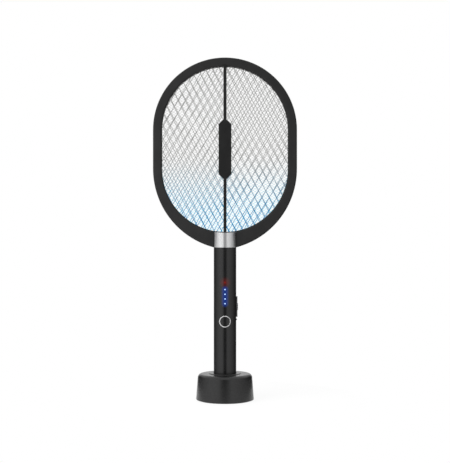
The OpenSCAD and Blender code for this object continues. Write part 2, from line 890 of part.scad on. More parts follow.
// A flat round-ended solid with the opening's outline, from a section given from its axis outwards
module open_solid() {
    translate([0, top_c]) rotate_extrude(angle = 180) children();
    translate([0, open_c]) rotate(180) rotate_extrude(angle = 180) children();
    for (s = [0, 1]) mirror([s, 0, 0])
        translate([0, top_c]) rotate([90, 0, 0]) linear_extrude(height = side_l) children();
}

// The part of a ring round the opening's lower middle, between two angles from straight down
module lower_arc(r_in, r_out, z0, z1, a0, a1) {
    translate([0, open_c]) rotate(a0 - 90) rotate_extrude(angle = a1 - a0)
        translate([r_in, z0]) square([r_out - r_in, z1 - z0]);
}

// The frame's band in section, from the outer edge inwards
module band_section() {
    polygon(concat(
        [[outer_r - band_reach, 0], [outer_r - seam, 0], [outer_r, seam/2]],
        arc_points([outer_r - edge_round, half_depth - edge_round], edge_round, 0, 90, 6),
        [[outer_r - band_reach, half_depth]]));
}

// Short blocks inside the band, each across a joint of its straight and curved stretches
module band_laps() {
    lap = 4;
    both_sides() for (y = [open_c, top_c])
        block([outer_r - band_reach, y - lap/2, 0], [outer_r - web_in, y + lap/2, half_depth]);
}

// The solid web between the band's two lower edges, the opening and the handle
module neck_web() {
    foot = handle_r - edge_round;
    along = [0.95, 0.45];
    edge_points = [for (u = along)
        [low_x, open_c] + (low_r - web_in)*[cos(u*neck_turn), -sin(u*neck_turn)]];
    both_sides() linear_extrude(height = half_depth)
        polygon(concat([[-over, open_c], [-over, handle_top], [foot, handle_top]], edge_points));
}

// The front half of the frame without its screw holes; the rear half is its mirror image
module frame_half() {
    difference() {
        union() {
            along_outline() band_section();
            band_laps();
            neck_web();
            block([-stem_w/2, plug_z, 0], [stem_w/2, handle_top + collar_h/4, neck_half]);
        }
        // The tips of the two lower edges end square on the handle
        both_sides() block([stem_w/2, plug_z - band_reach, -over],
                           [outer_r, handle_top, half_depth + over]);
        block([-outer_r, plug_z - band_reach, -over], [outer_r, plug_z, half_depth + over]);
        // Seat of the collar, under a lip that carries the opening's bevel past it
        difference() {
            block([-collar_seat_x, plug_z, neck_half], [collar_seat_x, open_low + over, half_depth + over]);
            translate([0, open_c]) cylinder(r = open_r + lip_w, h = head_depth);
        }
        // Opening with its bevel, and the pockets of the nets and lamps behind it
        lower_arc(open_r + pocket_w/2, open_r + lamp_pocket_w, -over, lamp_seat,
                  -pocket_angle, pocket_angle);
        open_solid() polygon([
            [0, -over], [open_r, -over], [open_r, half_depth - bevel_d], [open_r + bevel_w, half_depth],
            [open_r + bevel_w, half_depth + over], [0, half_depth + over]]);
        open_solid() translate([0, -over]) square([open_r + pocket_w, seat + over]);
        // Seats of the brace's ends
        block([-notch_w/2, open_top - over, half_depth - tab_t - fit_gap],
              [notch_w/2, open_top + tab_l + fit_gap, half_depth + over]);
        block([-notch_w/2, open_low - tab_l - fit_gap, neck_half],
              [notch_w/2, open_low + over, half_depth + over]);
        // Ducts of the leads
        for (x = duct_x) translate([x, plug_z - over, 0]) rotate([-90, 0, 0])
            cylinder(r = duct_r, h = open_low - lamp_pocket_w/2 - plug_z);
    }
}

module at_frame_screws() {
    for (p = frame_screw_spots) translate(p) children();
}

module frame_front() {
    color(black) upright() difference() {
        frame_half();
        at_frame_screws() translate([0, 0, -over]) cylinder(r = tip_r + screw_play/2, h = seat + over);
        translate([0, neck_screw_z, -over]) cylinder(r = screw_r + screw_play/2, h = half_depth + 2*over);
    }
}

module frame_rear() {
    color(black) upright() difference() {
        mirror([0, 0, 1]) frame_half();
        at_frame_screws() translate([0, 0, -half_depth - over]) {
            cylinder(r = tip_r + screw_play, h = half_depth + 2*over);
            cylinder(r = tip_head_r + head_play, h = over + tip_sunk + tip_head_t);
        }
        translate([0, neck_screw_z, -half_depth - over])
            cylinder(r = screw_r + screw_play, h = half_depth + 2*over);
    }
}

module frame_screws() {
    seat_z = -half_depth + tip_sunk + tip_head_t;
    color(steel) upright() at_frame_screws() {
        translate([0, 0, seat_z - tip_head_t]) cylinder(r = tip_head_r, h = tip_head_t);
        translate([0, 0, seat_z]) cylinder(r = tip_r, h = -seat_z + seat - over);
    }
}

// A tapered sleeve, cut across by the frame and notched for the braces' ends, with a plug into the handle
module neck_collar() {
    color(silver) difference() {
        union() {
            translate([0, 0, handle_top]) cylinder(d1 = handle_d, d2 = collar_top_d, h = collar_h);
            translate([0, 0, plug_z]) cylinder(r = bore_r - fit_gap, h = plug_l + over);
        }
        block([-stem_w/2 - fit_gap, -slot_half, plug_z - over],
              [stem_w/2 + fit_gap, slot_half, open_low + over]);
        block([-handle_d, -slot_half, handle_top], [handle_d, slot_half, open_low + over]);
        block([-notch_w/2, -half_depth - fit_gap, open_low - tab_l - fit_gap],
              [notch_w/2, half_depth + fit_gap, open_low + over]);
        upright() translate([0, open_c, -handle_d]) cylinder(r = open_r + collar_drop, h = 2*handle_d);
        forward_pin(screw_r + screw_play, -handle_r, handle_r, 0, neck_screw_z);
        forward_pin(screw_head_r + head_play, screw_seat, handle_r, 0, neck_screw_z);
    }
}

module open_outline(grow) {
    r = open_r + grow;
    translate([0, open_c]) circle(r = r);
    translate([0, top_c]) circle(r = r);
    translate([-r, open_c]) square([2*r, side_l]);
}

function in_opening(p, grow) =
    norm([p[0], p[1] - min(max(p[1], open_c), top_c)]) < open_r + grow;

// A net of diamonds with a rim, punched from one sheet and standing on a cell's centre line
module net_sheet(grip, pitch, rise) {
    slope = atan2(rise, pitch);
    half_w = pitch/2 - strand_w/2/sin(slope);
    half_h = rise/2 - strand_w/2/cos(slope);
    columns = ceil(head_w/2/pitch);
    rows = ceil((open_top - open_low)/rise);
    middle = (open_low + open_top)/2;
    cell_share = 0.45;
    linear_extrude(height = net_t) difference() {
        open_outline(grip);
        intersection() {
            open_outline(grip - rim_w);
            for (i = [-columns:columns], j = [-rows:rows]) {
                c = [(i + (j%2 == 0 ? 0.5 : 0))*pitch, middle + j*rise/2];
                if (in_opening(c, pitch*cell_share))
                    polygon([c + [half_w, 0], c + [0, half_h], c - [half_w, 0], c - [0, half_h]]);
            }
        }
    }
}

module front_net() {
    color(steel) upright() translate([0, 0, outer_net_z]) net_sheet(net_grip, net_pitch, net_rise);
}

module centre_net() {
    color(steel) upright() translate([0, 0, -centre_half]) net_sheet(centre_grip, net_pitch, net_rise);
}

module rear_net() {
    color(steel) upright() translate([0, 0, -outer_net_z - net_t])
        net_sheet(net_grip, net_pitch*rear_coarser, net_rise*rear_coarser);
}

// An insulating ring between two nets, open at the bottom for the lamps
module spacer() {
    difference() {
        open_solid() translate([open_r + spacer_in, spacer_z0])
            square([pocket_w - spacer_in - fit_gap, spacer_z1 - spacer_z0]);
        lower_arc(open_r/2, open_r + pocket_w + over, 0, seat, -spacer_angle, spacer_angle);
    }
}

module front_spacer() {
    color(dark) upright() spacer();
}

module rear_spacer() {
    color(dark) upright() mirror([0, 0, 1]) spacer();
}

// A flat bar down the middle of a net, with a plate whose ends taper and whose edges are bevelled
module brace() {
    z0 = half_depth - brace_t;
    plate_out = 0.6;
    plate_t = brace_t + plate_out;
    bevel = 0.7;
    middle = (open_low + open_top)/2;
    end_gap = 0.15;
    block([-brace_w/2, open_low + end_gap, z0], [brace_w/2, open_top - end_gap, half_depth]);
    block([-brace_w/2, open_low - tab_l, half_depth - tab_t], [brace_w/2, open_top + tab_l, half_depth]);
    hull() {
        translate([0, middle, z0]) linear_extrude(height = plate_t - bevel) plate_outline(0);
        translate([0, middle, z0]) linear_extrude(height = plate_t) plate_outline(bevel);
    }
}

module plate_outline(inset) {
    w = plate_w/2 - inset;
    l = plate_l/2 - inset;
    straight = plate_l/2 - plate_taper;
    tip_more = 0.6;
    tip_w = brace_w/2 + tip_more;
    polygon([[-w, -straight], [-tip_w, -l], [tip_w, -l], [w, -straight],
             [w, straight], [tip_w, l], [-tip_w, l], [-w, straight]]);
}

module front_brace() {
    color(black) upright() brace();
}

module rear_brace() {
    color(black) upright() mirror([0, 0, 1]) brace();
}

module both_sides() {
    for (s = [0, 1]) mirror([s, 0, 0]) children();
}

module uv_boards() {
    half_h = lamp_seat - 2*net_gap;
    color(board_green) upright() both_sides()
        lower_arc(uv_board_r, uv_board_r + uv_board_t, -half_h, half_h, lamp_gap_angle, lamp_half_angle);
}

module uv_chips() {
    step = (lamp_half_angle - lamp_gap_angle)/lamps_per_side;
    color([0.75, 0.7, 1]) upright() both_sides() for (i = [0:lamps_per_side - 1])
        translate([0, open_c]) rotate(lamp_gap_angle + (i + 0.5)*step)
            block([-chip_w/2, -uv_board_r + fit_gap, -chip_h/2],
                  [chip_w/2, -uv_board_r + chip_l, chip_h/2]);
}

module uv_windows() {
    thick = 2.2;
    color([0.75, 0.85, 1]) upright() for (s = [0, 1]) mirror([0, 0, s])
        lower_arc(open_r + spacer_in, open_r + spacer_in + thick, spacer_z0, spacer_z1,
                  -lamp_half_angle, lamp_half_angle);
}

// A strap that joins the two outer nets, and a tab on the centre net
module net_terminals() {
    w = 3;
    tab_in = open_low - centre_grip - fit_gap;
    color(copper) upright() {
        block([-net_lead_x - w/2, strap_in - strap_t, -seat + net_gap],
              [-net_lead_x + w/2, strap_in, seat - net_gap]);
        block([net_lead_x - w/2, strap_in - strap_t, -centre_half],
              [net_lead_x + w/2, tab_in, centre_half]);
    }
}

// Leads rise from the board's rear face, through the frame's ducts, to the terminals and the lamps
module net_leads() {
    end_z = strap_in - strap_t - fit_gap/2;
    colors = [[0.1, 0.1, 0.1], [0.75, 0.1, 0.1]];
    for (i = [0, 1]) {
        x = (2*i - 1)*net_lead_x;
        color(colors[i]) lead([
            [x, lead_on_board, lead_start], [x, lead_on_board, board_top], [x, 0, plug_z - lead_bend],
            [x, 0, plug_z], [x, 0, end_z]], lead_r);
    }
}

module uv_leads() {
    end_x = (uv_board_r + uv_board_t/2)*sin(lamp_gap_angle) - lead_r;
    end_z = open_c - (uv_board_r + uv_board_t/2)*cos(lamp_gap_angle);
    color([0.85, 0.85, 0.8]) for (s = [-1, 1]) lead([
        [s*uv_lead_x, lead_on_board, lead_start], [s*uv_lead_x, lead_on_board, board_top],
        [s*uv_lead_x, 0, plug_z - lead_bend], [s*uv_lead_x, 0, plug_z],
        [s*min(end_x, uv_lead_x), 0, end_z]], lead_r);
}

base_shell();
base_cover();
base_foot();
base_weight();
base_screws();
base_board();
usb_socket();
dock_cup();
pin_sleeves();
contact_pins();
handle_front();
handle_rear();
handle_cap();
charge_contacts();
handle_screws();
battery_cell();
battery_leads();
main_board();
hv_transformer();
hv_capacitors();
rectifier_diodes();
lamp_chips();
blue_light_guide();
red_light_guide();
button_ring();
power_button();
tact_switch();
tact_plunger();
slide_switch();
switch_lever();
thumb_slider();
neck_collar();
frame_front();
frame_rear();
frame_screws();
front_net();
centre_net();
rear_net();
front_spacer();
rear_spacer();
front_brace();
rear_brace();
uv_boards();
uv_chips();
uv_windows();
net_terminals();
net_leads();
uv_leads();
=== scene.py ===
import math

import bpy
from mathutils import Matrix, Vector


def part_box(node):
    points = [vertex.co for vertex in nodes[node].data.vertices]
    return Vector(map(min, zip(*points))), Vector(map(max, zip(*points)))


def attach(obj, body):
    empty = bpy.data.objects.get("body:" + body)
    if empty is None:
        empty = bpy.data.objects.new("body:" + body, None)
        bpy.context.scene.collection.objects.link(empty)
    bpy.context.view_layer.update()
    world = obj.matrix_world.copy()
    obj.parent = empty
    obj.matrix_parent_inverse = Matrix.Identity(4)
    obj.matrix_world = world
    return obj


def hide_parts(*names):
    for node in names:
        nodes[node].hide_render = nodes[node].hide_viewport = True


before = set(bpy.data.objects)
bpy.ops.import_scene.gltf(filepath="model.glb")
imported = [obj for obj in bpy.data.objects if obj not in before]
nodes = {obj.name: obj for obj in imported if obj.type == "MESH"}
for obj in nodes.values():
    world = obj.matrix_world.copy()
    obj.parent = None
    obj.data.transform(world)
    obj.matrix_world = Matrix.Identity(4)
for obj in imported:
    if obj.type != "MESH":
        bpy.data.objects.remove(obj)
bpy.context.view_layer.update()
scene = bpy.context.scene
scene.view_settings.view_transform = "Standard"
print("frame loaded, nodes:", len(nodes))

# lens and place of the camera: level, straight in front of the part's middle
camera = {"lens": 84.0, "sensor": 36.0, "place": (0.0, -1.534, 0.239), "clipStart": 0.01}
bpy.ops.object.camera_add(location=camera["place"], rotation=(math.radians(90), 0, 0))
scene.camera = bpy.context.object
scene.camera.name = "frontCamera"
scene.camera.data.lens = camera["lens"]
scene.camera.data.sensor_width = camera["sensor"]
scene.camera.data.clip_start = camera["clipStart"]

# shader helpers: a colour mix has its colours at these sockets, and noise mostly stays in this range
mixSockets = {"first": 6, "second": 7, "out": 2}
noiseRange = (0.3, 0.7)


def addNode(tree, kind, inputs=None, **settings):
    made = tree.nodes.new(kind)
    for key, value in settings.items():
        setattr(made, key, value)
    for key, value in (inputs or {}).items():
        if isinstance(value, bpy.types.NodeSocket):
            tree.links.new(value, made.inputs[key])
        else:
            made.inputs[key].default_value = value
    return made


def calc(tree, operation, *values):
    made = addNode(tree, "ShaderNodeMath", dict(enumerate(values)), operation=operation)
    return made.outputs[0]


def spread(tree, value, low, high, toLow, toHigh, smooth=False):
    made = addNode(tree, "ShaderNodeMapRange", {
        "Value": value, "From Min": low, "From Max": high, "To Min": toLow, "To Max": toHigh})
    made.interpolation_type = "SMOOTHSTEP" if smooth else "LINEAR"
    return made.outputs[0]


def blendColours(tree, factor, first, second):
    made = addNode(tree, "ShaderNodeMix", data_type="RGBA")
    tree.links.new(factor, made.inputs["Factor"])
    for key, value in (("first", first), ("second", second)):
        socket = made.inputs[mixSockets[key]]
        if isinstance(value, bpy.types.NodeSocket):
            tree.links.new(value, socket)
        else:
            socket.default_value = (*value, 1)
    return made.outputs[mixSockets["out"]]


def distance(tree, across, up):
    return calc(tree, "SQRT", calc(tree, "ADD", calc(tree, "MULTIPLY", across, across),
                                   calc(tree, "MULTIPLY", up, up)))


def startFinish(name):
    finish = bpy.data.materials.new(name)
    finish.use_nodes = True
    tree = finish.node_tree
    place = addNode(tree, "ShaderNodeTexCoord").outputs["Object"]
    return finish, tree, tree.nodes["Principled BSDF"], place


def noise(tree, place, scale, detail=3.0, stretch=None):
    if stretch:
        place = addNode(tree, "ShaderNodeMapping", {"Vector": place, "Scale": stretch}).outputs[0]
    made = addNode(tree, "ShaderNodeTexNoise", {"Vector": place, "Scale": scale, "Detail": detail})
    return made.outputs["Fac"]


# moulded and turned edges are never quite sharp
def softEdge(tree, radius):
    return addNode(tree, "ShaderNodeBevel", {"Radius": radius}, samples=4).outputs[0]


# a moulded surface: fine grain in the bump, slow clouds in the colour and the gloss
mouldedForm = {"cloud": 60.0, "cloudDetail": 4.0, "cloudRough": 0.03, "grainRough": 0.04, "depth": 0.00004,
               "edge": 0.0004, "gloss": 0.5}


def mouldedFinish(name, look):
    finish, tree, shader, place = startFinish(name)
    grain = noise(tree, place, look["grain"])
    cloud = noise(tree, place, look.get("cloud", mouldedForm["cloud"]), mouldedForm["cloudDetail"])
    colour = blendColours(tree, spread(tree, cloud, *noiseRange, 0, 1), look["dark"], look["light"])
    tree.links.new(colour, shader.inputs["Base Color"])
    rough = spread(tree, cloud, *noiseRange,
                   look["rough"] - mouldedForm["cloudRough"], look["rough"] + mouldedForm["cloudRough"])
    fine = spread(tree, grain, *noiseRange, -mouldedForm["grainRough"], mouldedForm["grainRough"])
    tree.links.new(calc(tree, "ADD", rough, fine), shader.inputs["Roughness"])
    bump = addNode(tree, "ShaderNodeBump", {
        "Height": grain, "Strength": look["bump"], "Distance": mouldedForm["depth"],
        "Normal": softEdge(tree, mouldedForm["edge"])})
    tree.links.new(bump.outputs[0], shader.inputs["Normal"])
    shader.inputs["Specular IOR Level"].default_value = look.get("gloss", mouldedForm["gloss"])
    return finish, tree, shader, place


# a metal with the marks of its brushing, drawing or plating
metalForm = {"cloud": 90.0, "lineDetail": 2.0, "cloudRough": 0.04, "depth": 0.00002, "edge": 0.0002,
             "metal": 1.0}


def metalFinish(name, look):
    finish, tree, shader, place = startFinish(name)
    lines = noise(tree, place, look["lines"], metalForm["lineDetail"], look["stretch"])
    cloud = noise(tree, place, metalForm["cloud"])
    colour = blendColours(tree, spread(tree, lines, *noiseRange, 0, 1), look["dark"], look["light"])
    tree.links.new(colour, shader.inputs["Base Color"])
    rough = spread(tree, cloud, *noiseRange,
                   look["rough"] - metalForm["cloudRough"], look["rough"] + metalForm["cloudRough"])
    tree.links.new(rough, shader.inputs["Roughness"])
    bump = addNode(tree, "ShaderNodeBump", {
        "Height": lines, "Strength": look["bump"], "Distance": metalForm["depth"],
        "Normal": softEdge(tree, metalForm["edge"])})
    tree.links.new(bump.outputs[0], shader.inputs["Normal"])
    shader.inputs["Metallic"].default_value = look.get("metal", metalForm["metal"])
    return finish


# mouldings and coatings: the handle is the smoothest black, the frame is matt, the thumb pad a little greyer
mouldings = {
    "satinHandle": {"dark": (0.006, 0.006, 0.0062), "light": (0.0085, 0.0085, 0.0087), "rough": 0.22,
                    "grain": 2600.0, "bump": 0.10},
    "mattFrame": {"dark": (0.0145, 0.0145, 0.0147), "light": (0.0195, 0.0195, 0.0197), "rough": 0.62,
                  "grain": 2200.0, "bump": 0.22, "gloss": 0.28},
    "smoothBrace": {"dark": (0.0085, 0.0085, 0.0086), "light": (0.0115, 0.0115, 0.0115), "rough": 0.34,
                    "grain": 2800.0, "bump": 0.08},
    "satinBase": {"dark": (0.008, 0.008, 0.0082), "light": (0.0115, 0.0115, 0.0117), "rough": 0.27,
                  "grain": 2400.0, "bump": 0.14},
    "mattPad": {"dark": (0.036, 0.036, 0.0365), "light": (0.046, 0.046, 0.0465), "rough": 0.6,
                "grain": 2200.0, "bump": 0.25},
    "darkDock": {"dark": (0.014, 0.014, 0.0145), "light": (0.02, 0.02, 0.0205), "rough": 0.55,
                 "grain": 2000.0, "bump": 0.2},
    "footRubber": {"dark": (0.010, 0.010, 0.010), "light": (0.018, 0.018, 0.018), "rough": 0.85,
                   "grain": 1500.0, "bump": 0.4, "gloss": 0.3},
    "ringInlay": {"dark": (0.52, 0.52, 0.52), "light": (0.6, 0.6, 0.6), "rough": 0.35,
                  "grain": 3000.0, "bump": 0.05},
    "solderMask": {"dark": (0.01, 0.08, 0.03), "light": (0.03, 0.16, 0.06), "rough": 0.4,
                   "grain": 1200.0, "bump": 0.25, "cloud": 400.0},
    "cellSleeve": {"dark": (0.02, 0.09, 0.28), "light": (0.03, 0.13, 0.38), "rough": 0.25,
                   "grain": 700.0, "bump": 0.15},
    "blackBody": {"dark": (0.02, 0.02, 0.02), "light": (0.045, 0.045, 0.045), "rough": 0.5,
                  "grain": 2600.0, "bump": 0.3},
    "paleBody": {"dark": (0.5, 0.5, 0.47), "light": (0.65, 0.65, 0.62), "rough": 0.4,
                 "grain": 2600.0, "bump": 0.15},
    "dippedCoat": {"dark": (0.22, 0.03, 0.02), "light": (0.34, 0.06, 0.03), "rough": 0.2,
                   "grain": 500.0, "bump": 0.2},
    "leadCover": {"dark": (0.12, 0.02, 0.02), "light": (0.22, 0.05, 0.05), "rough": 0.5,
                  "grain": 1800.0, "bump": 0.15},
}
metals = {
    "satinSilver": {"dark": (0.61, 0.61, 0.615), "light": (0.7, 0.7, 0.705), "rough": 0.18, "metal": 0.64,
                    "lines": 30.0, "stretch": (60, 60, 1.5), "bump": 0.05},
    "zincPlate": {"dark": (0.42, 0.43, 0.45), "light": (0.6, 0.61, 0.63), "rough": 0.34,
                  "lines": 900.0, "stretch": (1, 1, 1), "bump": 0.2},
    "goldPlate": {"dark": (0.7, 0.48, 0.16), "light": (0.86, 0.64, 0.28), "rough": 0.25,
                  "lines": 800.0, "stretch": (1, 1, 1), "bump": 0.1},
    "nickelPlate": {"dark": (0.58, 0.57, 0.54), "light": (0.74, 0.73, 0.7), "rough": 0.22,
                    "lines": 800.0, "stretch": (1, 1, 0.1), "bump": 0.1},
    "bareCopper": {"dark": (0.55, 0.26, 0.12), "light": (0.78, 0.44, 0.24), "rough": 0.35,
                   "lines": 800.0, "stretch": (1, 1, 1), "bump": 0.15},
}
finishes = {name: mouldedFinish(name, look)[0] for name, look in mouldings.items()}
finishes.update({name: metalFinish(name, look) for name, look in metals.items()})

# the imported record's slots and the finish that each one takes
slotFinish = {
    "black_plastic": "satinHandle", "dark_plastic": "darkDock", "rubber": "footRubber", "steel": "zincPlate",
    "silver": "satinSilver", "gold": "goldPlate", "nickel": "nickelPlate", "circuit_board": "solderMask",
    "battery_sleeve": "cellSleeve", "component_black": "blackBody", "component_light": "paleBody",
    "capacitor": "dippedCoat", "ring_white": "ringInlay", "copper": "bareCopper", "lead_cover": "leadCover"}
nodeFinish = {
    "frame_front": "mattFrame", "frame_rear": "mattFrame", "front_brace": "smoothBrace",
    "rear_brace": "smoothBrace", "base_shell": "satinBase", "dock_cup": "satinBase",
    "thumb_slider": "mattPad"}

# what lies deeper than this in the frame, past the lower edge of the opening, isn't lit
opening = {"middle": 0.3278, "wires": 0.0896, "windows": 0.0902}


def insideOpening(tree, place, radius):
    part = addNode(tree, "ShaderNodeSeparateXYZ", {"Vector": place}).outputs
    up = calc(tree, "SUBTRACT", part["Z"], opening["middle"])
    return calc(tree, "LESS_THAN", distance(tree, part["X"], up), radius)


# lit lenses: cloudy, between the lamp's own colour and a paler one
lensForm = {"cloud": 500.0, "coreRange": (0.35, 0.65), "rough": 0.15}


def lensFinish(name, look):
    finish, tree, shader, place = startFinish(name)
    cloud = noise(tree, place, lensForm["cloud"])
    tree.links.new(blendColours(tree, cloud, look["dark"], look["light"]), shader.inputs["Base Color"])
    glow = blendColours(tree, spread(tree, cloud, *lensForm["coreRange"], 0, 1), look["glow"], look["core"])
    tree.links.new(glow, shader.inputs["Emission Color"])
    shader.inputs["Emission Strength"].default_value = look["strength"]
    if "within" in look:
        shown = calc(tree, "MULTIPLY", insideOpening(tree, place, look["within"]), look["strength"])
        tree.links.new(shown, shader.inputs["Emission Strength"])
    shader.inputs["Roughness"].default_value = lensForm["rough"]
    return finish


lenses = {
    "lamp_blue": {"dark": (0.1, 0.25, 0.6), "light": (0.2, 0.4, 0.8), "glow": (0.45, 0.68, 1.0),
                  "core": (0.75, 0.88, 1.0), "strength": 0.85},
    "lamp_red": {"dark": (0.06, 0.004, 0.003), "light": (0.1, 0.008, 0.006), "glow": (0.11, 0.006, 0.004),
                 "core": (0.17, 0.012, 0.008), "strength": 0.8},
    "uv_clear": {"dark": (0.3, 0.5, 0.8), "light": (0.4, 0.65, 0.95), "glow": (0.1, 0.4, 1.0),
                 "core": (0.3, 0.6, 1.0), "strength": 1.2, "within": opening["windows"]},
}
for slotName, look in lenses.items():
    finishes[slotName] = lensFinish(slotName + "Lens", look)
    slotFinish[slotName] = slotName

# painted light: the front shell is given the glow of its lamps as emission painted around the light guides, a
# blue band and a small red patch
paintedLampGlow = {"guideReach": 0.0032,
            "blue": {"light": (0.0, 0.024, 0.19), "inner": 0.0012, "reach": 0.0064},
            "red": {"light": (0.08, 0.002, 0.001), "inner": 0.0, "reach": 0.0095}}


def paintedGlowOf(tree, place, guideName, look):
    low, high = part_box(guideName)
    lowZ, highZ = low.z + paintedLampGlow["guideReach"], high.z - paintedLampGlow["guideReach"]
    part = addNode(tree, "ShaderNodeSeparateXYZ", {"Vector": place}).outputs
    fromMiddle = calc(tree, "ABSOLUTE", calc(tree, "SUBTRACT", part["Z"], (lowZ + highZ) / 2))
    past = calc(tree, "MAXIMUM", calc(tree, "SUBTRACT", fromMiddle, (highZ - lowZ) / 2), 0.0)
    near = spread(tree, distance(tree, past, part["X"]), look["inner"], look["reach"], 1, 0, True)
    near = calc(tree, "MULTIPLY", near, calc(tree, "LESS_THAN", part["Y"], 0.0))
    return blendColours(tree, near, (0, 0, 0), look["light"])


def frontShellPaintedGlowFinish():
    finish, tree, shader, place = mouldedFinish("satinHandlePaintedLampGlow", mouldings["satinHandle"])
    light = addNode(tree, "ShaderNodeMix", {"Factor": 1.0}, data_type="RGBA", blend_type="ADD")
    blue = paintedGlowOf(tree, place, "blue_light_guide", paintedLampGlow["blue"])
    red = paintedGlowOf(tree, place, "red_light_guide", paintedLampGlow["red"])
    tree.links.new(blue, light.inputs[mixSockets["first"]])
    tree.links.new(red, light.inputs[mixSockets["second"]])
    tree.links.new(light.outputs[mixSockets["out"]], shader.inputs["Emission Color"])
    # the painted lamp glow is emitted by the shell's own surface, which is no lamp
    shader.inputs["Emission Strength"].default_value = 1.0
    return finish


finishes["satinHandlePaintedLampGlow"] = frontShellPaintedGlowFinish()
nodeFinish["handle_front"] = "satinHandlePaintedLampGlow"

for name, piece in nodes.items():
    slotName = piece.material_slots[0].material.name
    chosen = nodeFinish.get(name, slotFinish.get(slotName))
    if chosen:
        piece.material_slots[0].material = finishes[chosen]
print("finishes set:", len(finishes))

# nets of straight round wires, welded where they cross: the front one a little turned, the centre one fine
# each slant of wires has the angle that it is stepped along and its step
# the rear rim reaches further into the frame, so that nothing shows through beside the collar
net = {"layer": 0.0001, "sides": 8, "stepsEachWay": 60, "rimW": 0.0012, "rimT": 0.0007, "rimSides": 96,
       "smooth": 50, "chordStep": 0.0005, "chordSteps": 700, "fewestSteps": 4}
frontLay = {"finish": "drawnWire", "wireR": 0.00041, "rimOut": 0.0, "crossing": (0.0028, 0.3460),
            "slants": ((-32.9, 0.00914), (26.4, 0.00904))}
centreLay = {"finish": "fineWire", "wireR": 0.00014, "rimOut": 0.0, "crossing": (0.0, 0.3447),
             "slants": ((-55.9, 0.00323), (58.5, 0.00324))}
rearLay = {"finish": "drawnWire", "wireR": 0.00037, "rimOut": 0.002, "crossing": (0.0009, 0.3432),
           "slants": ((-29.5, 0.00908), (29.1, 0.00916))}


# painted light: towards the bottom of the opening the wires' colour turns from steel to a dark blue tint and
# they glow blue, standing in for the UV lamps' light on them
def wireFinish(name, look):
    finish, tree, shader, place = startFinish(name)
    part = addNode(tree, "ShaderNodeSeparateXYZ", {"Vector": place}).outputs
    spots = noise(tree, place, look["spots"])
    # share of painted lamp light: full low in the opening, none above glowTop or outside the opening
    low = spread(tree, part["Z"], look["glowTop"], look["glowLow"], 0, 1, True)
    low = calc(tree, "MULTIPLY", low, insideOpening(tree, place, opening["wires"]))
    steel = blendColours(tree, spots, look["dark"], look["light"])
    tree.links.new(blendColours(tree, low, steel, look["paintedLampTint"]), shader.inputs["Base Color"])
    tree.links.new(blendColours(tree, low, (0, 0, 0), look["glow"]), shader.inputs["Emission Color"])
    tree.links.new(spread(tree, spots, *noiseRange, *look["strength"]), shader.inputs["Emission Strength"])
    shader.inputs["Metallic"].default_value = look["metal"]
    tree.links.new(spread(tree, spots, *noiseRange, *look["rough"]), shader.inputs["Roughness"])
    return finish


wireLook = {"dark": (0.48, 0.48, 0.47), "light": (0.62, 0.62, 0.61), "paintedLampTint": (0.01, 0.05, 0.08),
            "glow": (0.0, 0.17, 0.38), "strength": (0.75, 1.25), "glowTop": 0.345, "glowLow": 0.24,
            "spots": 400.0, "metal": 0.9, "rough": (0.32, 0.46)}
# the fine net lies level with the lamps, so its wires get a stronger painted lamp glow
fineLook = dict(wireLook, glow=(0.0, 0.66, 0.9), glowTop=0.35, glowLow=0.26)
finishes["drawnWire"] = wireFinish("drawnWire", wireLook)
finishes["fineWire"] = wireFinish("fineWire", fineLook)


# the stretch of a line that lies inside the net's outline
def chordOf(start, heading, radius, lowC, highC):
    inside = []
    for i in range(-net["chordSteps"], net["chordSteps"] + 1):
        t = i * net["chordStep"]
        x, z = start[0] + t * heading[0], start[1] + t * heading[1]
        if math.hypot(x, z - min(max(z, lowC), highC)) <= radius:
            inside.append(t)
    return (inside[0], inside[-1]) if len(inside) > net["fewestSteps"] else None


def deselectAll():
    if bpy.context.object and bpy.context.object.mode != "OBJECT":
        bpy.ops.object.mode_set(mode="OBJECT")
    bpy.ops.object.select_all(action="DESELECT")


